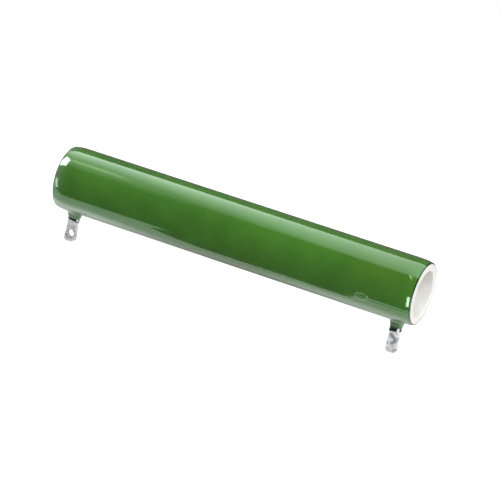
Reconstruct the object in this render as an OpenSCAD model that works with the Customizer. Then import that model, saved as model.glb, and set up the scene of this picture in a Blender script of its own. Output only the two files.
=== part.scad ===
// Tubular wirewound power resistor: a ceramic tube wound with resistance wire between two
// terminal strips, all under a coat of green vitreous enamel. The tube lies along X, the two
// solder lugs point down (-Z), and the origin is the middle of the tube's axis.

/* [Ceramic tube] */
// Length of the tube
tube_len = 170; // [110:1:260]
// Outside diameter of the tube
tube_d = 26.4; // [24:0.2:34]
// Bore that a mounting rod or bracket passes through
bore_d = 20; // [14:0.5:21]
// Rounding of the edges at both ends of the tube
tube_edge_r = 0.4; // [0.2:0.1:1]

/* [Resistance wire] */
// Diameter of the wire
wire_d = 0.4; // [0.3:0.02:0.42]
// Advance of the winding in one turn
wire_pitch = 5.4; // [4.4:0.2:6]
// Straight end of the wire, at least this long, from its last turn to the strip
wire_tail = 1.5; // [0.5:0.1:4]

/* [Terminal strips] */
// Width of the strip, which is also the width of its lug
strip_w = 5; // [4:0.1:7]
// Thickness of the strip
strip_t = 0.5; // [0.48:0.02:0.7]
// Inside radius of the bends where the band turns out into the lug
strip_bend_r = 0.8; // [0.5:0.1:1.5]
// Distance from the left end of the tube to the middle of the left strip
left_inset = 6.7; // [6.5:0.1:20]
// Distance from the right end of the tube to the middle of the right strip
right_inset = 8.5; // [6.5:0.1:20]
// How far the left lug stands out past the enamel
left_lug_out = 13.3; // [12.5:0.1:20]
// How far the right lug stands out past the enamel
right_lug_out = 14.4; // [12.5:0.1:20]
// How far the middle of the hole in either lug stands out past the enamel
lug_hole_out = 9.9; // [8.5:0.1:10.5]
// Diameter of that hole
lug_hole_d = 3.4; // [2.4:0.1:3.6]
// Rounding of the two corners at the tip
lug_corner_r = 1.4; // [0.5:0.1:1.8]
// Lean of each leg of the left lug away from the other
left_splay = 8; // [0:0.5:12]
// Lean of each leg of the right lug away from the other
right_splay = 2.5; // [0:0.5:12]

/* [Enamel coat] */
// Thickness of the coat over the ceramic
coat_t = 1; // [0.9:0.05:1.6]
// How far the coat stops short of either end of the tube
coat_bare = 0.1; // [0.1:0.1:2]
// Length over which the coat runs down to the ceramic at its ends
coat_shoulder = 3.1; // [1.6:0.05:3.5]
// Radius of the coat's outermost edge, where it meets the ceramic
coat_edge_r = 0.5; // [0.2:0.05:0.7]

/* [Enamel collars] */
// How far the left collar runs down its lug from the coat's surface
left_collar_len = 4; // [3.5:0.1:7]
// How far the right collar runs down its lug from the coat's surface
right_collar_len = 5.1; // [3.5:0.1:7]
// Enamel over the flat faces of the lug at the narrowest place
collar_face_t = 0.6; // [0.4:0.05:1]
// Enamel over the narrow edges of the lug at the same place
collar_edge_t = 0.2; // [0.15:0.05:0.6]
// Extra thickness of the collar where it leaves the coat
collar_root_t = 0.35; // [0.1:0.05:0.8]
// Radius of the fillet between the collar and the coat
collar_fillet_r = 1.7; // [0.8:0.1:2]
// Radius of the bead round the collar's lower rim
collar_bead_r = 0.5; // [0.3:0.05:0.6]
// How far that bead stands out past the narrowest place
collar_bead_out = 0.1; // [0:0.02:0.2]
// Drop of the left collar's rim towards the middle of the tube, for each mm along it
left_rim_slope = 0.4; // [0:0.05:0.5]
// The same drop on the right collar
right_rim_slope = 0.15; // [0:0.05:0.5]

/* [Hidden] */
LEFT = 0;
RIGHT = 1;

// Enamel between the wire and the ceramic at the sides of the tube, where it is thickest
wire_clear = 0.1;
// Swelling of the wire where it is bent over
wire_knuckle = 0.01;
// Step left where two round faces would otherwise only just touch
nick = 0.01;
// Turn, in degrees, that leaves such a step between two arcs
nick_turn = 0.5;
// How far a cutter or a joined solid runs past the face that it meets
over = 1;
// Depth of the collar's fillet inside the coat, so that it meets the surface at an angle
sink = 0.04;
// How far the two legs stay together below the lowest place of the collar's rim
leg_straight = 0.1;

tube_r = tube_d / 2;
bore_r = bore_d / 2;
band_r = tube_r + strip_t;
coat_r = tube_r + coat_t;
coat_end_x = tube_len / 2 - coat_bare;

// What differs between the two ends, as [LEFT, RIGHT]. The left end is drawn mirrored, so that
// both count X outwards from the tube's middle.
lug_x = [tube_len / 2 - left_inset, tube_len / 2 - right_inset];
tip_z = [-(coat_r + left_lug_out), -(coat_r + right_lug_out)];
splay = [left_splay, right_splay];
rim_z = [-(coat_r + left_collar_len), -(coat_r + right_collar_len)];
rim_slope = [left_rim_slope, right_rim_slope];

// Winding: whole turns, each of two tilted half turns, between the straight ends of the wire
wire_r = tube_r + wire_clear + wire_d / 2;
wind_room = lug_x[LEFT] + lug_x[RIGHT] - strip_w - 2 * wire_tail;
turns = floor(wind_room / wire_pitch);
wind_len = turns * wire_pitch;
wire_lean = asin(wire_pitch / 4 / wire_r);
wind_mid_x = (lug_x[RIGHT] - lug_x[LEFT]) / 2;
wire_end_len = wire_tail + (wind_room - wind_len) / 2;

// Lug: centre of the bend, the place where the legs part, and the hole
bend_y = strip_t + strip_bend_r + nick;
bend_z = -sqrt(pow(band_r + strip_bend_r, 2) - pow(bend_y, 2));
bend_turn = atan2(bend_y, -bend_z) - nick_turn;
rim_reach = strip_w / 2 + collar_edge_t + collar_bead_out;
part_z = [for (end = [LEFT, RIGHT]) rim_z[end] - rim_slope[end] * rim_reach - leg_straight];
hole_z = -(coat_r + lug_hole_out);

// Shoulder: a long arc over a short one, both tangent, the short one square to the ceramic
shoulder_run = coat_shoulder - coat_edge_r;
shoulder_turn = 2 * atan((coat_t - coat_edge_r) / shoulder_run);
shoulder_r = shoulder_run / sin(shoulder_turn) + coat_edge_r;
shoulder_x = coat_end_x - coat_shoulder;

// Collar: its cross-section is a straight middle line, and a distance all round that line
neck_s = strip_t + collar_face_t;
root_s = neck_s + collar_root_t;
bead_s = neck_s + collar_bead_out - collar_bead_r;
bead_turn = acos((neck_s - bead_s) / collar_bead_r);
fillet_s = root_s + collar_fillet_r;
collar_half = strip_w / 2 + collar_edge_t - neck_s;
collar_top_z = -(tube_r - over);
end_steps = 12;
bead_steps = 5;
fillet_steps = 6;

// Puts what is drawn for the right-hand end at the given end of the tube
module at_end(end) {
    mirror([end == LEFT ? 1 : 0, 0, 0])
        children();
}

module along_x() {
    rotate([0, 90, 0])
        children();
}

// A 2D outline in Y and Z, drawn out along X to the given length about the given place
module slab(x, length) {
    translate([x - length / 2, 0, 0])
        rotate([90, 0, 90])
            linear_extrude(length)
                children();
}

// What a rounding of radius r takes off a corner that points to +X and +Y at the origin
module corner_waste(r) {
    translate([-r, -r])
        difference() {
            square(r + over);
            circle(r, $fn = 64);
        }
}

// ---- Ceramic tube ----

// Half the lengthwise section of the tube with its bore filled in
module rod_section() {
    difference() {
        translate([0, -tube_len / 2])
            square([tube_r, tube_len]);
        for (side = [0, 1]) mirror([0, side])
            translate([tube_r, tube_len / 2])
                corner_waste(tube_edge_r);
    }
}

module tube_section() {
    difference() {
        rod_section();
        translate([-over, -tube_len])
            square([bore_r + over, 2 * tube_len]);
        for (side = [0, 1]) mirror([0, side])
            translate([bore_r, tube_len / 2])
                mirror([1, 0])
                    corner_waste(tube_edge_r);
    }
}

module ceramic_tube() {
    color("#f4f3ee")
        along_x()
            rotate_extrude($fn = 128)
                tube_section();
}

// ---- Resistance wire ----

// Half a turn from pole to pole, tilted so that it climbs by half the pitch
module half_turn(side) {
    rotate([0, side * wire_lean, 0])
        along_x()
            rotate([0, 0, side > 0 ? 0 : 180])
                rotate_extrude(angle = 180, $fn = 48)
                    translate([wire_r, 0])
                        circle(d = wire_d, $fn = 16);
}

// The winding's end at the top of the tube: bent over, then straight to the edge of the strip
module wire_end() {
    translate([wind_len / 2, 0, wire_r * cos(wire_lean)]) {
        sphere(d = wire_d + 2 * wire_knuckle, $fn = 32);
        along_x()
            cylinder(d = wire_d, h = wire_end_len, $fn = 32);
    }
}

module winding() {
    translate([wind_mid_x, 0, 0]) {
        rotate([180, 0, 0])
            for (i = [0 : turns - 1])
                translate([i * wire_pitch - wind_len / 2, 0, 0]) {
                    translate([wire_pitch / 4, 0, 0])
                        half_turn(1);
                    translate([wire_pitch * 3 / 4, 0, 0])
                        half_turn(-1);
                }
        for (turn = [0, 180]) rotate([0, 0, turn])
            wire_end();
    }
}

module resistance_wire() {
    color("#8d8a85")
        winding();
}

// ---- Terminal strips ----

// The wedge below the tube's axis in which both sides of the strip bend outwards
module bend_wedge(bottom_z) {
    polygon([
        [0, 0],
        [-bottom_z * tan(bend_turn), bottom_z],
        [bottom_z * tan(bend_turn), bottom_z],
    ]);
}

module both_bends(r) {
    for (side = [-1, 1])
        translate([side * bend_y, bend_z])
            circle(r, $fn = 64);
}

// The outer faces of the two bends and of the straight legs below them, filled in
module strip_neck(end) {
    slab(lug_x[end], strip_w)
        difference() {
            bend_wedge(bend_z);
            both_bends(strip_bend_r);
        }
    slab(lug_x[end], strip_w)
        translate([-strip_t, part_z[end]])
            square([2 * strip_t, bend_z - part_z[end] + strip_t / 2]);
}

// The tube, and the hollow that the two bends leave under it
module strip_hollow(end) {
    slab(lug_x[end], strip_w + 2 * over)
        circle(tube_r, $fn = 128);
    slab(lug_x[end], strip_w + 2 * over)
        difference() {
            bend_wedge(bend_z + strip_t / 2);
            both_bends(strip_bend_r + strip_t);
        }
}

// One leg from the place where it leans away from the other
module leg(end) {
    top = part_z[end];
    drop = top - tip_z[end] + over;
    lean = splay[end];
    polygon([
        [0, top + over],
        [0, top],
        [drop * tan(lean), top - drop],
        [drop * tan(lean) + strip_t / cos(lean), top - drop],
        [strip_t, top + strip_t * tan(lean / 2)],
        [strip_t, top + over],
    ]);
}

// The lug's outline seen along Y, open at the top, with its hole
module lug_outline(end) {
    difference() {
        translate([-strip_w / 2, tip_z[end]])
            square([strip_w, band_r - tip_z[end] + over]);
        for (side = [0, 1]) mirror([side, 0])
            translate([strip_w / 2, tip_z[end]])
                mirror([0, 1])
                    corner_waste(lug_corner_r);
        translate([0, hole_z])
            circle(d = lug_hole_d, $fn = 64);
    }
}

// One strip, all one piece: its band round the tube and its two legs
module terminal(end) {
    intersection() {
        union() {
            difference() {
                union() {
                    slab(lug_x[end], strip_w)
                        circle(band_r, $fn = 128);
                    strip_neck(end);
                }
                strip_hollow(end);
            }
            for (side = [0, 1]) mirror([0, side, 0])
                slab(lug_x[end], strip_w)
                    leg(end);
        }
        translate([lug_x[end], 2 * band_r, 0])
            rotate([90, 0, 0])
                linear_extrude(4 * band_r)
                    lug_outline(end);
    }
}

module terminal_right() {
    color("#b9bbbd")
        at_end(RIGHT)
            terminal(RIGHT);
}

module terminal_left() {
    color("#b9bbbd")
        at_end(LEFT)
            terminal(LEFT);
}

// ---- Enamel coat ----

// One half of the coat's section, from the tube's middle to its end, solid to the axis
module coat_half_section() {
    turn = shoulder_turn - nick_turn;
    reach = shoulder_r + over;
    square([coat_r, shoulder_x]);
    square([tube_r, coat_end_x]);
    translate([coat_r - shoulder_r, shoulder_x])
        intersection() {
            circle(shoulder_r, $fn = 128);
            polygon([[0, -over], [0, 0], [reach, reach * tan(turn)], [reach, -over]]);
        }
    translate([tube_r, coat_end_x - coat_edge_r])
        circle(coat_edge_r, $fn = 64);
}

// How far the coat's surface has come in over its shoulder at x
function shoulder_fall(x) =
    shoulder_r - sqrt(pow(shoulder_r, 2) - pow(max(0, x - shoulder_x), 2));

// Collar levels, from the rim up: [distance from the middle line, z, share of the slope, share
// of the shoulder's fall] in the direction given by turn. The fillet follows the coat as it
// curves away from X.
function bead_level(i, rim) =
    let (a = -90 + (90 + bead_turn) * i / bead_steps)
    [bead_s + collar_bead_r * cos(a), rim + collar_bead_r * (1 + sin(a)), 1, 0];

function fillet_level(i, turn) =
    let (curve = pow(sin(turn), 2) / coat_r)
    let (lift = pow(fillet_s, 2) * curve / 2 / (1 + collar_fillet_r * curve))
    let (last = asin(fillet_s * curve / (1 + collar_fillet_r * curve)))
    let (a = 180 - (90 - last) * i / fillet_steps)
    [
        fillet_s + collar_fillet_r * cos(a),
        -(coat_r + collar_fillet_r) + lift + sink + collar_fillet_r * sin(a),
        0,
        1,
    ];

function level(k, turn, rim) =
    k <= bead_steps ? bead_level(k, rim)
    : k <= bead_steps + 1 + fillet_steps ? fillet_level(k - bead_steps - 1, turn)
    : [root_s, collar_top_z, 0, 0];

// One level as a ring of points round a straight middle line with a half circle at each end
function ring(k, end) = [
    for (side = [1, -1]) for (i = [0 : end_steps])
        let (turn = (side > 0 ? -90 : 90) + 180 * i / end_steps)
        let (p = level(k, turn, rim_z[end]))
        let (x = side * collar_half + p[0] * cos(turn))
        let (fall = shoulder_fall(lug_x[end] + x))
        [x, p[0] * sin(turn), p[1] + rim_slope[end] * x * p[2] + fall * p[3]]
];

// The collar of enamel round the top of one lug
module collar(end) {
    levels = bead_steps + fillet_steps + 3;
    n = 2 * (end_steps + 1);
    points = [for (k = [0 : levels - 1]) each ring(k, end)];
    sides = [
        for (k = [0 : levels - 2]) for (j = [0 : n - 1])
            let (next = (j + 1) % n)
            each [
                [k * n + j, (k + 1) * n + j, (k + 1) * n + next],
                [k * n + j, (k + 1) * n + next, k * n + next],
            ]
    ];
    rim = [for (j = [0 : n - 1]) j];
    top = [for (j = [n - 1 : -1 : 0]) (levels - 1) * n + j];
    translate([lug_x[end], 0, 0])
        polyhedron(points, concat(sides, [rim, top]));
}

module enamel_coat() {
    color("#3f8a2c")
        difference() {
            union() {
                along_x()
                    rotate_extrude($fn = 128)
                        for (side = [0, 1]) mirror([0, side])
                            coat_half_section();
                for (end = [LEFT, RIGHT]) at_end(end)
                    collar(end);
            }
            along_x()
                rotate_extrude($fn = 128)
                    rod_section();
            for (end = [LEFT, RIGHT]) at_end(end) {
                slab(lug_x[end], strip_w)
                    circle(band_r, $fn = 128);
                strip_neck(end);
            }
            winding();
        }
}

ceramic_tube();
resistance_wire();
terminal_left();
terminal_right();
enamel_coat();
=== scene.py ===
"""Looks for a tubular wirewound resistor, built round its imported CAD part.

The tube lies along X and its two solder lugs point down. The enamel coat is rebuilt as one smooth
skin with its two collars, and the legs of both strips get the lumpy skin that dipping in solder
leaves. The ceramic tube and the wire keep their CAD meshes.

Shapes are worked out in millimetres and turned into metres when a mesh is made. Where the two
ends differ, a value is kept by side: -1 is the left end and 1 the right one.
"""

import math

import bmesh
import bpy
import numpy as np
from mathutils import Matrix, Quaternion, Vector, noise


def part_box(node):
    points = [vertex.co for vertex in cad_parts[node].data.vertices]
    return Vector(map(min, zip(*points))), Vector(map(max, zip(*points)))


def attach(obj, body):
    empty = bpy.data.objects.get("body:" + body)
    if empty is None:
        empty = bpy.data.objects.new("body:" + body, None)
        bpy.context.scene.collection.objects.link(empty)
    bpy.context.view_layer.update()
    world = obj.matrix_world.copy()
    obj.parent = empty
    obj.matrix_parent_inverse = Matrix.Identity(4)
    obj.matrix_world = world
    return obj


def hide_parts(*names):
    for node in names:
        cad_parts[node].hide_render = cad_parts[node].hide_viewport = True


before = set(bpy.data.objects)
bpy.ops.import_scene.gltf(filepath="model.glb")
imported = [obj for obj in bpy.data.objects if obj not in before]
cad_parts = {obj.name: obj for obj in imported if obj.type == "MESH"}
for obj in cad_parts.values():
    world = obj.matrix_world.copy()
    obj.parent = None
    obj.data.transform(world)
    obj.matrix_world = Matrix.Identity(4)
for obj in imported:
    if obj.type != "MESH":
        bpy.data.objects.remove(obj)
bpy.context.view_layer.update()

MM = 0.001


# ---- Sizes taken from the frame, in millimetres ----


def box_mm(node):
    low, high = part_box(node)
    return [v / MM for v in low], [v / MM for v in high]


tube_high = box_mm("ceramic_tube")[1]
coat_high = box_mm("enamel_coat")[1]
left_low, left_high = box_mm("terminal_left")
right_low, right_high = box_mm("terminal_right")

tube_end, tube_r = tube_high[0], tube_high[2]
coat_end, coat_r = coat_high[0], coat_high[2]
strip_w = right_high[0] - right_low[0]
strip_t = right_high[2] - tube_r
# Distance of each lug from the tube's middle
lug_x = {-1: -(left_low[0] + left_high[0]) / 2, 1: (right_low[0] + right_high[0]) / 2}

# ---- Enamel coat: shoulders at the ends, and a collar round the top of each lug ----

shoulder = 5.0  # length over which the coat runs down to the ceramic
edge_r = 0.5  # radius of its outermost edge
tube_edge_r = 0.4  # radius of the ceramic's own edge, which the coat runs onto
collar_len = {-1: 4.15, 1: 5.1}  # how far each collar hangs below the coat
fillet_r = {-1: 2.2, 1: 1.7}  # radius between a collar and the coat
cover_face, cover_side = 0.6, 0.2  # enamel over a strip's face and over its edge in a collar
root_flare = 0.35  # how much further out a collar is where it leaves the coat
bead_r = 0.5  # radius of the bead round a collar's rim
bead_out = 0.1  # how far the bead stands out past the neck
rim_slope = 0.15  # how steeply a rim drops towards the tube's middle
under_in, under_up = 0.13, 0.05  # steps inwards and up of a rim's hollow underside

# Its unevenness and its marks
wave = 0.018  # height of the unevenness of the glaze
wave_len = (26, 11, 11)  # length of its waves along X, Y and Z
ripple = 3.1  # how many times shorter its ripples are, which are a third as high
burnt_from = {-1: 0.0, 1: 0.1}  # share of a collar's wall above its darkened part
edge_burnt = {-1: 0.0, 1: 0.6}  # painted shade on the coat's outermost edge, at each end
collar_reflection = {-1: 1.0, 1: 0.75}  # how much painted pale reflection a collar gets
reflection_end = 7.0  # length over which a painted pale reflection grows towards the left end
blister = (62.85, -13.26, -5.09)  # place of a small ring-shaped blister in the glaze
blister_r = (3.6, 2.1, 2.1)  # its half lengths

# Its steps. Each collar grows out of a patch of the coat's underside
around = 256  # round the tube
plain_steps = 25  # along the tube, from its middle to a patch
patch_steps = 34  # along a patch
patch_half = 5.8  # half length of a patch
patch_turn = 14  # steps round the tube on each side of the bottom line that a patch takes in
shoulder_steps, edge_steps, onto_tube_steps = 4, 7, 3  # along the rest of the way to the end
skirt = (0.18, 0.36, 0.54, 0.72, 0.88, 1.0)  # shares of the way from a patch's border to a collar
fillet_steps, wall_steps, bead_steps, under_steps = 8, 7, 8, 3  # down a collar

edge_turn = 2 * math.atan((coat_r - tube_r - edge_r) / (shoulder - edge_r))
shoulder_r = (shoulder - edge_r) / math.sin(edge_turn) + edge_r
shoulder_x = coat_end - shoulder
shoulder_stop = shoulder_x + shoulder_r * math.sin(edge_turn)
edge_x = coat_end - edge_r
neck_s = strip_t + cover_face  # half thickness of a collar above its bead
root_s = neck_s + root_flare  # half thickness where its fillet starts
fillet_s = {side: root_s + r for side, r in fillet_r.items()}
collar_half = strip_w / 2 + cover_side - neck_s  # half length of the line that a collar goes round


def coat_radius(x):
    """Radius of the coat's outside at x."""
    x = abs(x)
    if x <= shoulder_x:
        return coat_r
    if x <= shoulder_stop:
        return coat_r - shoulder_r + math.sqrt(shoulder_r**2 - (x - shoulder_x) ** 2)
    return tube_r + math.sqrt(max(edge_r**2 - (x - edge_x) ** 2, 0))


def half_columns(side):
    """Rings of the skin from the tube's middle to one end, as [distance along the tube, radius].
    The last ones follow the ceramic's rounded edge back inwards."""
    start, stop = lug_x[side] - patch_half, lug_x[side] + patch_half
    places = list(np.linspace(0, start, plain_steps + 1)[:-1])
    places += list(np.linspace(start, stop, patch_steps + 1))
    places += list(np.linspace(stop, shoulder_stop, shoulder_steps + 1)[1:])
    turns = np.linspace(edge_turn, math.pi / 2, edge_steps + 1)[1:]
    places += [edge_x + edge_r * math.sin(t) for t in turns]
    columns = [[x, coat_radius(x)] for x in places]
    corner_x, corner_r = tube_end - tube_edge_r, tube_r - tube_edge_r
    meet = math.asin((coat_end - corner_x) / tube_edge_r)
    for t in np.linspace(meet, 0, onto_tube_steps + 1):
        columns.append([corner_x + tube_edge_r * math.sin(t), corner_r + tube_edge_r * math.cos(t)])
    return columns


def glaze(x, y, z):
    """Slight unevenness of the glaze at a point of its surface."""
    p = Vector((x / wave_len[0], y / wave_len[1], z / wave_len[2]))
    return wave * noise.noise(p) + wave / 3 * noise.noise(p * ripple)


def on_coat(x, y):
    """Height of the coat's underside at x and y, before the glaze's unevenness."""
    return -math.sqrt(coat_radius(x) ** 2 - y**2)


def lifted(x, y, z):
    """A point of the coat moved out or in by the glaze's unevenness, which fades at the ends."""
    fade = min(1, (coat_end - abs(x)) / shoulder)
    r = math.hypot(y, z)
    k = 1 + glaze(x, y, z) * fade / r
    return (x, y * k, z * k)


def around_line(q, s):
    """The point at the distance q along a line drawn s outside the collar's middle line.
    Gives the place on the middle line and the direction out from it."""
    quarter, straight = math.pi / 2 * s, 2 * collar_half
    if q < quarter:
        t = q / s
        return collar_half, math.cos(t), math.sin(t)
    q -= quarter
    if q < straight:
        return collar_half - q, 0.0, 1.0
    q -= straight
    if q < 2 * quarter:
        t = math.pi / 2 + q / s
        return -collar_half, math.cos(t), math.sin(t)
    q -= 2 * quarter
    if q < straight:
        return q - collar_half, 0.0, -1.0
    t = -math.pi / 2 + (q - straight) / s
    return collar_half, math.cos(t), math.sin(t)


def collar_levels(side):
    """Rings of a collar below its fillet's foot: [half thickness, drop below the coat, share of
    the rim's slope, how dark]. The coat's curve round X fades out down the collar."""
    length, clean, bend = collar_len[side], burnt_from[side], fillet_r[side]
    levels = []
    for i in range(1, fillet_steps + 1):
        t = math.pi / 2 * i / fillet_steps
        levels.append([fillet_s[side] - bend * math.sin(t), bend * (1 - math.cos(t)), 0, 0])
    bead_drop = length - bead_r
    bead_s = neck_s + bead_out - bead_r
    top = math.acos((neck_s - bead_s) / bead_r)
    wall_end = bead_drop - bead_r * math.sin(top)
    for i in range(1, wall_steps):
        w = i / wall_steps
        s = neck_s + (root_s - neck_s) * (1 - w) ** 2
        burnt = max(0, (w - clean) / (1 - clean))
        levels.append([s, bend + (wall_end - bend) * w, w, burnt])
    for i in range(bead_steps + 1):
        t = -top + (math.pi / 2 + top) * i / bead_steps
        levels.append([bead_s + bead_r * math.cos(t), bead_drop + bead_r * math.sin(t), 1, 1])
    for i in range(1, under_steps + 1):
        levels.append([bead_s - under_in * i, length - under_up * i * i, 1, 1])
    return levels


class Skin:
    """The enamel in the making: points in millimetres and faces, and for each point how dark it is
    (painted shade on the coat's outermost edge) and how much painted pale reflection it gets."""

    def __init__(self):
        self.points, self.faces, self.burnt, self.pale_reflection = [], [], [], []

    def add_points(self, spots, burnt, pale_reflection):
        start = len(self.points)
        self.points.extend(spots)
        self.burnt.extend([burnt] * len(spots))
        self.pale_reflection.extend([pale_reflection] * len(spots))
        return list(range(start, len(self.points)))

    def add_quad(self, a, b, c, d, side=1):
        """Four corners. A left collar is a mirror image, so its faces are turned over."""
        self.faces.append((a, b, c, d) if side > 0 else (d, c, b, a))

    def add_ring(self, last, spots, burnt, pale_reflection, side):
        """A ring of points joined to the last one."""
        ring = self.add_points(spots, burnt, pale_reflection)
        for k in range(len(ring)):
            after = (k + 1) % len(ring)
            self.add_quad(last[k], last[after], ring[after], ring[k], side)
        return ring


def point_at(column, turn):
    """Number of the coat's point in a column, at a step round the tube from the bottom line."""
    return column * around + turn % around


def add_coat(skin, columns, patches):
    """The coat's tube, open where a patch is, and closed along the ceramic."""
    turns = [2 * math.pi * j / around for j in range(around)]
    for x, r in columns:
        spots = [lifted(x, r * math.sin(t), -r * math.cos(t)) for t in turns]
        # Painted shade darkens the coat's outermost edge, at the right end
        burnt = edge_burnt[-1 if x < 0 else 1] if abs(x) > edge_x else 0
        # Painted pale reflection, growing towards the left end
        skin.add_points(spots, burnt, min(1, max(0, 1 - (x + coat_end) / reflection_end)) ** 2)
    last = len(columns) - 1
    for i in range(last):
        in_patch = any(low <= i < high for low, high in patches.values())
        for j in range(around):
            if in_patch and (j < patch_turn or j >= around - patch_turn):
                continue
            a, b = point_at(i, j), point_at(i, j + 1)
            skin.add_quad(a, b, point_at(i + 1, j + 1), point_at(i + 1, j))
    for j in range(around):
        a, b = point_at(last, j), point_at(last, j + 1)
        skin.add_quad(a, b, point_at(0, j + 1), point_at(0, j))


def border_of(patch, side):
    """Once round a patch from its outer end, as (column, step round the tube)."""
    inner, outer = patch if side > 0 else reversed(patch)
    border = [(outer, j) for j in range(0, patch_turn)]
    border += [(i, patch_turn) for i in range(outer, inner, -side)]
    border += [(inner, j) for j in range(patch_turn, -patch_turn, -1)]
    border += [(i, -patch_turn) for i in range(inner, outer, side)]
    border += [(outer, j) for j in range(-patch_turn, 0)]
    return border


def add_collar(skin, columns, patch, side):
    """One collar: a skirt from its patch's border to the fillet's foot, and its rings below."""
    border = border_of(patch, side)
    edge = []
    for i, j in border:
        (x, r), t = columns[i], 2 * math.pi * j / around
        edge.append((side * x - lug_x[side], r * math.sin(t)))
    lengths = [math.dist(edge[k], edge[(k + 1) % len(edge)]) for k in range(len(edge))]
    walked = np.concatenate([[0], np.cumsum(lengths)[:-1]]) / sum(lengths)
    foot = fillet_s[side]
    whole = 2 * math.pi * foot + 4 * collar_half
    spokes = [around_line(q * whole, foot) for q in walked]

    ring = [point_at(i, j) for i, j in border]
    for w in skirt:
        spots = []
        for (u, v), (m, nx, ny) in zip(edge, spokes):
            x = lug_x[side] + u + (m + foot * nx - u) * w
            y = v + (foot * ny - v) * w
            spots.append(lifted(side * x, y, on_coat(x, y)))
        ring = skin.add_ring(ring, spots, 0, 0, side)
    for s, drop, share, burnt in collar_levels(side):
        # Painted pale reflection on a collar, growing down its fillet
        pale_reflection = collar_reflection[side] * min(1, drop / fillet_r[side])
        spots = []
        for m, nx, ny in spokes:
            u, y = m + s * nx, s * ny
            top = on_coat(lug_x[side] + u, y) * (1 - share) - coat_r * share
            spots.append((side * (lug_x[side] + u), y, top - drop + rim_slope * u * share))
        ring = skin.add_ring(ring, spots, burnt, pale_reflection, side)
    skin.faces.append(tuple(ring if side > 0 else reversed(ring)))


def enamel_skin():
    """The coat and both collars as one closed skin."""
    left, right = half_columns(-1), half_columns(1)
    columns = [[-x, r] for x, r in reversed(left[1:])]
    middle = len(columns)
    columns += right
    near, far = plain_steps, plain_steps + patch_steps
    patches = {1: (middle + near, middle + far), -1: (middle - far, middle - near)}
    skin = Skin()
    add_coat(skin, columns, patches)
    for side, patch in patches.items():
        add_collar(skin, columns, patch, side)
    return skin


# ---- Strips: their legs softened and lumped by solder ----

solder_grain = 0.14  # size of the faces of the solder skin
smooth_share, smooth_rounds = 0.5, 3  # how far it is smoothed before it gets its lumps
solder_lump = 0.13  # height of its lumps
lump_len, dimple_len = 1.1, 0.45  # length of the lumps, and of dimples half as high
solder_sink = 0.15  # share of a lump's height by which the whole skin sinks in
film_t, film_over = 0.3, 0.2  # film across the right lug's hole: thickness, overlap on the leg
hole_shade_w = 0.35  # width of the painted shade round an open hole
hole_shade_in = 0.3  # how far it reaches inside the hole's edge
# Drops of solder on the collars' rims: [towards the right end from the lug's middle, y, z, radius]
drops = {
    -1: [[2.3, -1.2, -17.45, 0.62]],
    1: [[1.65, -1.2, -17.6, 0.55], [1.55, -1.2, -18.4, 0.65], [1.7, -1.1, -19.2, 0.6]],
}


def add_object(name, mesh, crease=None):
    """An object with that mesh. Where crease is given, the mesh is smooth but for edges that are
    sharper than crease, in degrees."""
    if crease:
        mesh.shade_smooth()
        mesh.set_sharp_from_angle(angle=math.radians(crease))
    obj = bpy.data.objects.new(name, mesh)
    bpy.context.scene.collection.objects.link(obj)
    return obj


def add_mesh(name, points, faces):
    """A smooth object of that name from points in millimetres."""
    mesh = bpy.data.meshes.new(name)
    mesh.from_pydata([(x * MM, y * MM, z * MM) for x, y, z in points], [], faces)
    mesh.validate()
    mesh.update()
    return add_object(name, mesh, crease=30)


def part_of_strip(source, side, above):
    """The part of a strip above or below a level inside its collar, closed at the cut."""
    part = bmesh.new()
    part.from_mesh(source.data)
    bmesh.ops.remove_doubles(part, verts=part.verts, dist=0.001 * MM)
    cut = Vector((0, 0, -(coat_r + collar_len[side] / 2) * MM))
    whole = part.verts[:] + part.edges[:] + part.faces[:]
    bmesh.ops.bisect_plane(part, geom=whole, plane_co=cut, plane_no=(0, 0, 1),
                           clear_inner=above, clear_outer=not above)
    bmesh.ops.holes_fill(part, edges=[e for e in part.edges if e.is_boundary])
    return part


def hole_of_leg(part, side):
    """Middle and radius of the hole in the front leg, in metres. They come from its walls, which
    don't face the front and lie inside the leg's edges, its round end and the cut at its top."""
    side_on, from_middle, from_end = 0.3, 0.42, 0.3  # the last two as shares of the leg's width
    wall = [f for f in part.faces if abs(f.normal.y) < side_on and f.calc_center_median().y < 0]
    low, high = min(v.co.z for v in part.verts), max(v.co.z for v in part.verts)
    middle, reach = side * lug_x[side] * MM, strip_w * from_middle * MM
    bottom, top = low + strip_w * from_end * MM, high - MM
    inside = [v.co for f in wall for v in f.verts
              if abs(v.co.x - middle) < reach and bottom < v.co.z < top]
    box = [(min(c[k] for c in inside), max(c[k] for c in inside)) for k in range(3)]
    return Vector([(a + b) / 2 for a, b in box]), (box[0][1] - box[0][0]) / 2


def solder_height(p):
    """Height of the solder's lumps at a point, in metres."""
    q = Vector(p) / MM
    lumps = noise.noise(q / lump_len) + 0.5 * noise.noise(q / dimple_len)
    return solder_lump * MM * (lumps - solder_sink)


def soft_skin(name, legs):
    """One soft, even skin round all that legs holds."""
    rough = bpy.data.meshes.new(name + "_rough")
    legs.to_mesh(rough)
    legs.free()
    shell = add_object(name + "_rough", rough)
    remesh = shell.modifiers.new("skin", "REMESH")
    remesh.mode, remesh.voxel_size = "VOXEL", solder_grain * MM
    smooth = shell.modifiers.new("soften", "SMOOTH")
    smooth.factor, smooth.iterations = smooth_share, smooth_rounds
    graph = bpy.context.evaluated_depsgraph_get()
    skin = bpy.data.meshes.new_from_object(shell.evaluated_get(graph))
    bpy.data.objects.remove(shell)
    return skin


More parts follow.
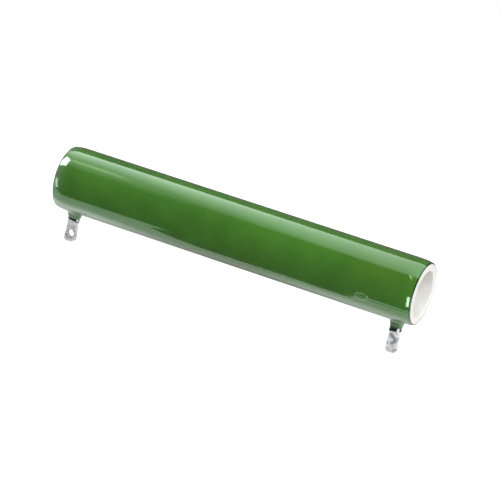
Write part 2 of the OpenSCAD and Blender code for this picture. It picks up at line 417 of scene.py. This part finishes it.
def tinned_strip(name, node, side, filled):
    """A strip whose visible legs wear solder. filled: solder has closed the front leg's hole."""
    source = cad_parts[node]
    legs = part_of_strip(source, side, above=False)
    middle, radius = hole_of_leg(legs, side)
    if filled:
        place = Matrix.Translation(middle) @ Matrix.Rotation(math.pi / 2, 4, "X")
        film_r = radius + film_over * MM
        bmesh.ops.create_cone(legs, cap_ends=True, segments=32, radius1=film_r, radius2=film_r,
                              depth=film_t * MM, matrix=place)
    for x, y, z, r in drops[side]:
        place = Matrix.Translation(Vector((side * lug_x[side] + x, y, z)) * MM)
        bmesh.ops.create_icosphere(legs, subdivisions=2, radius=r * MM, matrix=place)
    skin = soft_skin(name, legs)
    normals = [v.normal.copy() for v in skin.vertices]
    for v, normal in zip(skin.vertices, normals):
        v.co += normal * solder_height(v.co)
        out = Vector((v.co.x - middle.x, 0, v.co.z - middle.z))
        if not filled and out.length < radius:
            v.co += out.normalized() * (radius - out.length)
    strip = part_of_strip(source, side, above=True)
    strip.from_mesh(skin)
    mesh = bpy.data.meshes.new(name)
    strip.to_mesh(mesh)
    strip.free()
    # Painted shade round an open hole, reaching inside its edge
    hole_shade = mesh.attributes.new("hole", "FLOAT", "POINT")
    for v, mark in zip(mesh.vertices, hole_shade.data):
        out = math.hypot(v.co.x - middle.x, v.co.z - middle.z) - radius
        shaded = not filled and out >= -hole_shade_in * MM
        mark.value = math.exp(-abs(out) / (hole_shade_w * MM)) if shaded else 0
    return add_object(name, mesh, crease=50)


# ---- Materials ----


class Nodes:
    """Short ways to build the nodes of a material, a lamp or the world. Another node's output
    does wherever a value is asked for."""

    def __init__(self, owner):
        owner.use_nodes = True
        self.owner, self.tree = owner, owner.node_tree

    def add(self, kind, **values):
        node = self.tree.nodes.new(kind)
        for key, value in values.items():
            setattr(node, key, value)
        return node

    def put(self, value, socket):
        if isinstance(value, bpy.types.NodeSocket):
            self.tree.links.new(value, socket)
        else:
            socket.default_value = value

    def put_all(self, node, **values):
        for key, value in values.items():
            self.put(value, node.inputs[key.replace("_", " ")])

    def math(self, operation, *values):
        node = self.add("ShaderNodeMath", operation=operation)
        for value, socket in zip(values, node.inputs):
            self.put(value, socket)
        return node.outputs["Value"]

    def vector(self, operation, *values):
        node = self.add("ShaderNodeVectorMath", operation=operation)
        for value, socket in zip(values, node.inputs):
            self.put(value, socket)
        return node.outputs["Value" if operation in ("LENGTH", "DOT_PRODUCT") else "Vector"]

    def split(self, vector):
        """A vector's X, Y and Z."""
        node = self.add("ShaderNodeSeparateXYZ")
        self.put(vector, node.inputs["Vector"])
        return node.outputs["X"], node.outputs["Y"], node.outputs["Z"]

    def range(self, value, low, high, start=0.3, stop=0.7):
        """From low where the value is start to high where it is stop, and no further."""
        node = self.add("ShaderNodeMapRange")
        self.put_all(node, Value=value, From_Min=start, From_Max=stop, To_Min=low, To_Max=high)
        return node.outputs["Result"]

    def ramp(self, value, stops):
        """Colours at their places between 0 and 1."""
        node = self.add("ShaderNodeValToRGB")
        ramp = node.color_ramp
        while len(ramp.elements) < len(stops):
            ramp.elements.new(0.5)
        for element, (place, colour) in zip(ramp.elements, stops):
            element.position = place
            element.color = (*colour, 1)
        self.put(value, node.inputs["Fac"])
        return node.outputs["Color"]


class Surface(Nodes):
    """The nodes of a new material. Distances in it are in metres, and scales are per metre."""

    def __init__(self, name):
        super().__init__(bpy.data.materials.new(name))
        self.shader = self.tree.nodes["Principled BSDF"]
        self.place = self.add("ShaderNodeTexCoord").outputs["Object"]

    def set(self, **values):
        self.put_all(self.shader, **values)
        return self.owner

    def mark(self, name):
        """What the mesh says about each point under that name."""
        return self.add("ShaderNodeAttribute", attribute_name=name).outputs["Fac"]

    def noise(self, scale, detail=3.0, rough=0.5, distort=0.0):
        node = self.add("ShaderNodeTexNoise")
        self.put_all(node, Vector=self.place, Scale=scale, Detail=detail, Roughness=rough,
                     Distortion=distort)
        return node.outputs["Fac"]

    def mix(self, share, a, b, blend="MIX"):
        """Two colours mixed by that share of the second."""
        node = self.add("ShaderNodeMix", data_type="RGBA", blend_type=blend)
        for name, value in (("Factor", share), ("A", a), ("B", b)):
            value = (*value, 1) if isinstance(value, tuple) else value
            self.put(value, [s for s in node.inputs if s.name == name and s.enabled][0])
        return [s for s in node.outputs if s.name == "Result" and s.enabled][0]

    def bump(self, height, distance, strength=1.0, after=None):
        node = self.add("ShaderNodeBump")
        self.put_all(node, Height=height, Distance=distance, Strength=strength)
        if after:
            self.put(after, node.inputs["Normal"])
        return node.outputs["Normal"]


def enamel_material():
    """Glossy green glass: slightly uneven in colour, with a pale painted reflection on the collars
    and towards the left end, and nearly black where it is darkened, which on the coat's outermost
    edge is painted shade."""
    n = Surface("green_enamel")
    body = n.ramp(n.noise(70, 4), [(0.3, (0.047, 0.178, 0.012)), (0.7, (0.070, 0.234, 0.020))])
    olive = n.range(n.noise(22, 3, 0.55, 0.6), 0, 0.45, 0.5, 0.75)
    body = n.mix(olive, body, (0.085, 0.180, 0.012))
    fine = n.ramp(n.noise(900, 3), [(0.35, (0.9, 0.9, 0.9)), (0.7, (1, 1, 1))])
    body = n.mix(1.0, body, fine, "MULTIPLY")
    # Painted pale reflection: a greyer green on the collars and towards the left end
    body = n.mix(n.range(n.mark("pale_reflection"), 0, 0.6, 0, 1), body, (0.28, 0.41, 0.26))

    from_blister = n.vector("SUBTRACT", n.place, Vector(blister) * MM)
    out = n.vector("LENGTH", n.vector("DIVIDE", from_blister, Vector(blister_r) * MM))
    ring = n.ramp(out, [(0.4, (0, 0, 0)), (0.72, (1, 1, 1)), (1, (0, 0, 0))])
    # Painted reflection: a lighter green on the blister's ring
    body = n.mix(n.range(ring, 0, 0.7, 0, 1), body, (0.16, 0.36, 0.12))

    # Nearly black where darkened: towards the collars' rims, and as painted shade on the coat's
    # outermost edge
    patchy = n.math("MULTIPLY_ADD", n.noise(900, 2), 0.5, n.mark("rim"))
    body = n.mix(n.range(patchy, 0, 1, 0.4, 0.95), body, (0.012, 0.019, 0.010))
    peel = n.bump(n.noise(1300, 2), 0.00001, 0.5)
    peel = n.bump(n.noise(230, 2), 0.00006, 0.5, peel)
    return n.set(
        Base_Color=body,
        Roughness=n.range(n.noise(160, 3), 0.07, 0.12),
        Normal=n.bump(ring, 0.0002, 1.0, peel),
        IOR=1.7,
        Specular_Tint=(0.5, 1, 0.6, 1),
        Coat_Weight=1.0,
        Coat_IOR=1.5,
        Coat_Roughness=0.06,
    )


def ceramic_material():
    """Fired white ceramic, faintly mottled and matt."""
    n = Surface("white_ceramic")
    body = n.ramp(n.noise(120, 4), [(0.3, (0.88, 0.865, 0.825)), (0.7, (0.93, 0.92, 0.885))])
    specks = n.ramp(n.noise(2600, 2), [(0.62, (1, 1, 1)), (0.78, (0.86, 0.84, 0.80))])
    return n.set(
        Base_Color=n.mix(1.0, body, specks, "MULTIPLY"),
        Roughness=n.range(n.noise(500, 3), 0.45, 0.65),
        Normal=n.bump(n.noise(2200, 4, 0.6), 0.00003, 0.6),
        IOR=1.5,
    )


def tinned_material(crumpled):
    """Strip dipped in solder: a pale skin with darker veins, a painted white glint on the drops
    that stand on the collars' rims, and painted shade round an open hole. crumpled: with larger,
    darker and deeper veins."""
    n = Surface("tinned_crumpled" if crumpled else "tinned_smooth")
    vein, start = ((0.33, 0.33, 0.36), 0.385) if crumpled else ((0.60, 0.60, 0.62), 0.33)
    grain, deep = (250, 0.0006) if crumpled else (640, 0.0003)
    pale, bright, white = (0.78, 0.78, 0.80), (0.97, 0.97, 0.97), (0.98, 0.98, 0.98)
    stops = [(start, vein), (start + 0.08, pale), (start + 0.15, bright)]
    body = n.ramp(n.noise(grain, 4, 0.6, 1.4), stops)
    # Painted glint: the drops are painted near white. Only they stand out in front of 0.9 mm and
    # above the lugs
    _, y, z = n.split(n.place)
    in_front, above = n.range(y, 1, 0, -0.0010, -0.0008), n.range(z, 0, 1, -0.0200, -0.0197)
    body = n.mix(n.math("MULTIPLY", in_front, above), body, white)
    fine = n.bump(n.noise(2500, 3), 0.00005, 0.7)
    return n.set(
        # Painted shade round an open hole
        Base_Color=n.mix(n.mark("hole"), body, (0.10, 0.10, 0.11)),
        Roughness=n.range(n.noise(900, 3), 0.22, 0.5),
        Normal=n.bump(n.noise(620, 3, 0.6, 0.8), deep, 0.8, fine),
        Metallic=0.25,
        IOR=1.8,
    )


def wire_material():
    """Drawn resistance wire, dull from firing."""
    n = Surface("resistance_wire")
    return n.set(
        Base_Color=n.ramp(n.noise(500, 3), [(0.3, (0.22, 0.21, 0.19)), (0.7, (0.36, 0.35, 0.33))]),
        Roughness=n.range(n.noise(900, 2), 0.35, 0.55),
        Normal=n.bump(n.noise(3000, 2), 0.00001, 0.5),
        Metallic=1.0,
    )


def dress(obj, material):
    obj.data.materials.clear()
    obj.data.materials.append(material)


# ---- Pieces ----

skin = enamel_skin()
enamel = add_mesh("enamel_skin", skin.points, skin.faces)
for mark, values in (("rim", skin.burnt), ("pale_reflection", skin.pale_reflection)):
    enamel.data.attributes.new(mark, "FLOAT", "POINT").data.foreach_set("value", values)
dress(enamel, enamel_material())
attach(enamel, "root")
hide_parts("enamel_coat")

for name, node, side, filled in (
    ("tinned_left", "terminal_left", -1, False),
    ("tinned_right", "terminal_right", 1, True),
):
    strip = tinned_strip(name, node, side, filled)
    dress(strip, tinned_material(crumpled=filled))
    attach(strip, "root")
    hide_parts(node)

for node, material, slot in (
    ("ceramic_tube", ceramic_material(), "ceramic"),
    ("resistance_wire", wire_material(), "resistance_wire"),
):
    dress(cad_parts[node], material)

# ---- Floor, in millimetres ----

floor_drop = 120  # from the tube's axis down to the floor
floor_end = 1500  # how far it reaches to the back and to both sides
# Its front edge, as [x, y]: the glaze mirrors it along its lower side
floor_edge = [
    [-floor_end, -1345], [-239, -159], [-144, -94], [-90, -94], [-84, -87], [-86, -76],
    [-88, -62], [-80, -46], [-68, -31], [-60, -23], [-34, -22], [-24, -27], [floor_end, -27],
]
# Two dimmer strips in front of it, which the glaze mirrors near the right end: [front, back]
front_strips = [[-86, -68], [-60, -27]]
strip_start = 20  # where they start, along X


def pale_surface(name, shade, glow, gleam):
    """A plain pale surface, as white as shade, that glows by glow to the camera. Its colour holds
    a painted shadow of the tube, darkest in an oval spot behind it, and painted shade further back.
    A painted glow that only glossy surfaces see makes it brighter in reflections: by gleam in front
    of the tube, and in a patch under each end."""
    n = Surface(name)
    x, y, _ = n.split(n.place)
    oval = n.add("ShaderNodeCombineXYZ")
    away = n.math("ADD", n.range(y, 1.1, 0, 0.03, 0.08), n.range(y, 0, 1.3, 0.12, 0.36))
    n.put_all(oval, X=n.range(x, -1.5, 1.5, -0.185, 0.085), Y=away)
    out = n.vector("LENGTH", oval.outputs["Vector"])
    # Painted shadow of the tube in an oval spot, and painted shade further back
    dim = n.math("MULTIPLY", n.range(out, 0.40, 1, 0.2, 1.1), n.range(y, 1, 0.62, 0.1, 0.25))
    grain = n.range(n.noise(3, 2), shade - 0.02, shade + 0.02)

    # Painted glow, seen only in reflections: in front of the tube and under each end
    under = n.math("MULTIPLY", n.range(y, 0, 1, -0.04, 0), n.range(y, 1, 0, 0.035, 0.06))
    ends = n.math("MAXIMUM", n.range(x, 0.7, 0, -0.115, -0.075), n.range(x, 0, 0.4, -0.03, 0.005))
    sheen = n.math("MAXIMUM", n.range(y, gleam, 0, -0.05, 0.02), n.math("MULTIPLY", under, ends))
    path = n.add("ShaderNodeLightPath").outputs
    seen = n.math("MAXIMUM", path["Is Camera Ray"], path["Is Transmission Ray"])
    light = n.math("MULTIPLY_ADD", path["Is Glossy Ray"], sheen, n.math("MULTIPLY", seen, glow))
    return n.set(
        Base_Color=n.math("MULTIPLY", grain, dim),
        Roughness=0.9,
        Emission_Color=(1, 1, 1, 1),
        Emission_Strength=light,
    )


def add_floor():
    """A sheet under and behind the tube. In front it ends under the tube, and the camera sees
    the world's white beyond it."""
    back = [[floor_end, floor_end], [-floor_end, floor_end]]
    sheets = [("floor", floor_edge + back, pale_surface("pale_floor", 0.88, 0.85, 0.32))]
    dim = pale_surface("dim_floor", 0.75, 0.85, 0.55)
    for i, (front, rear) in enumerate(front_strips):
        outline = [[strip_start, front], [floor_end, front], [floor_end, rear], [strip_start, rear]]
        sheets.append((f"floor_front_{i}", outline, dim))
    for name, outline, material in sheets:
        points = [(x, y, -floor_drop) for x, y in outline]
        sheet = add_mesh(name, points, [tuple(range(len(points)))])
        dress(sheet, material)


# ---- Light and camera, in metres ----


def add_softbox(name, place, aim, size, strength, shows=True, lights=True, roll=0,
                colour=(1, 1, 1)):
    """An even area light; strength is the brightness of its face. One that doesn't show isn't
    mirrored, and one that doesn't light is only mirrored."""
    data = bpy.data.lights.new(name, "AREA")
    data.shape = "RECTANGLE"
    data.size, data.size_y = size
    data.energy = strength * math.pi * size[0] * size[1]
    data.color = colour
    obj = bpy.data.objects.new(name, data)
    obj.location = place
    turn = (Vector(aim) - Vector(place)).to_track_quat("-Z", "Y")
    obj.rotation_euler = (turn @ Quaternion((0, 0, 1), math.radians(roll))).to_euler()
    obj.visible_camera = False
    obj.visible_glossy = shows
    obj.visible_diffuse = lights
    bpy.context.scene.collection.objects.link(obj)
    return obj


def add_gleam(name, place, aim, size, strength, **options):
    """A light that only shows as a highlight in the glaze and the solder."""
    return add_softbox(name, place, aim, size, strength, lights=False, **options)


def face_of(lamp):
    """A lamp's nodes, the place on its face from 0 to 1 each way, and its emission."""
    n = Nodes(lamp.data)
    place = n.add("ShaderNodeNewGeometry").outputs["Parametric"]
    return n, place, n.tree.nodes["Emission"]


def add_overhead():
    """The large light overhead. It fades towards the front left across a slanting line, its far
    edge is sharp, and it is brighter to the left."""
    low, high, height = Vector((-0.9, -0.25)), Vector((0.5, 0.385)), 0.5
    middle, size = (low + high) / 2, high - low
    light = add_softbox("overhead", (*middle, height), (*middle, 0), size, 1.95)
    n, place, emission = face_of(light)
    # The slanting line: a direction square to it, and a point on it
    across, point = Vector((0.81, 0.587)), Vector((-0.271, 0.035))
    # Brightness by the distance from the line, within that reach to each side
    reach = 0.25
    stops = ((-0.25, 0.03), (-0.2, 0.064), (-0.069, 0.282), (0.027, 0.667), (0.107, 0.872),
             (0.184, 1.0))
    start = (low - point).dot(across)
    walked = n.vector("DOT_PRODUCT", place, (across.x * size.x, across.y * size.y, 0))
    spot = n.range(walked, 0, 1, -reach - start, reach - start)
    fade = n.ramp(spot, [(d / (2 * reach) + 0.5, (share,) * 3) for d, share in stops])
    left, right = (-0.36 - low.x) / size.x, (-0.08 - low.x) / size.x
    level = n.range(n.split(place)[0], 1.55, 0.84, left, right)
    n.put_all(emission, Color=fade, Strength=level)


def soften(lamp):
    """Lets a lamp that points down fade away towards its front and its right."""
    n, place, emission = face_of(lamp)
    x, y, _ = n.split(place)
    n.put_all(emission, Strength=n.math("MULTIPLY", n.range(x, 1, 0, 0.3, 1), y))


def add_world():
    """Dim light from all round. The camera sees plain white."""
    world = bpy.data.worlds.new("studio")
    n = Nodes(world)
    dim, white = n.tree.nodes["Background"], n.add("ShaderNodeBackground")
    for background, strength in ((dim, 0.14), (white, 1)):
        n.put_all(background, Color=(1, 1, 1, 1), Strength=strength)
    path = n.add("ShaderNodeLightPath").outputs
    seen = n.math("MAXIMUM", path["Is Camera Ray"], path["Is Transmission Ray"])
    mix = n.add("ShaderNodeMixShader")
    for value, socket in zip((seen, dim.outputs[0], white.outputs[0]), mix.inputs):
        n.put(value, socket)
    n.put(mix.outputs["Shader"], n.tree.nodes["World Output"].inputs["Surface"])
    bpy.context.scene.world = world


def add_camera():
    """A long lens from the right and a little above, rolled as the view is."""
    data = bpy.data.cameras.new("camera")
    data.lens, data.sensor_width = 203.24, 36
    data.clip_end = 20
    obj = bpy.data.objects.new("camera", data)
    obj.location = (0.42408, -1.06791, 0.34036)
    aim = Vector((0.00541, -0.00005, -0.00555))
    obj.rotation_mode = "QUATERNION"
    level = (aim - obj.location).to_track_quat("-Z", "Y")
    obj.rotation_quaternion = level @ Quaternion((0, 0, 1), math.radians(11.96))
    bpy.context.scene.collection.objects.link(obj)
    bpy.context.scene.camera = obj


add_floor()
add_world()

# What lights the part
add_overhead()
add_softbox("front_fill", (0.2, -1.1, 0.9), (0, 0, 0), (1.2, 0.9), 1.2, shows=False)
add_softbox("right_fill", (1.0, -0.6, 0.35), (0.08, 0, 0), (0.8, 0.8), 5.5, shows=False)

# What the left end mirrors: a bright window, a yellowish streak, a soft glow and a thin edge
add_gleam("left_lamp", (-0.671, -0.272, 0.776), (0.329, -0.282, 0.751), (0.49, 0.46), 12, roll=141)
add_gleam("left_streak", (-0.288, -0.115, 0.49), (-0.288, -0.115, 0), (0.045, 0.10), 1.5,
          colour=(1, 1, 0.62))
soften(add_gleam("left_glow", (-0.285, -0.31, 0.49), (-0.285, -0.31, 0), (0.12, 0.24), 0.7))
add_gleam("left_edge", (-0.305, -0.25, -0.078), (-0.084, -0.014, 0), (0.035, 0.16), 4.5)

# What the right end mirrors: a streak at its edge and a yellowish spot
add_gleam("low_strip", (0.101, -0.5, -0.225), (0.085, 0, 0), (0.06, 0.34), 9)
add_gleam("right_spot", (-0.063, -0.494, 0.81), (0.08, 0, 0), (0.07, 0.2), 3.5, roll=46,
          colour=(1, 1, 0.6))

# What the solder of the lugs mirrors
add_gleam("low_right", (0.42, -0.28, -0.16), (0, 0, -0.02), (0.22, 0.20), 4)
add_gleam("front_right", (0.7, -0.85, 0.12), (0, 0, -0.02), (0.35, 0.35), 4)

add_camera()
bpy.context.scene.view_settings.view_transform = "Standard"
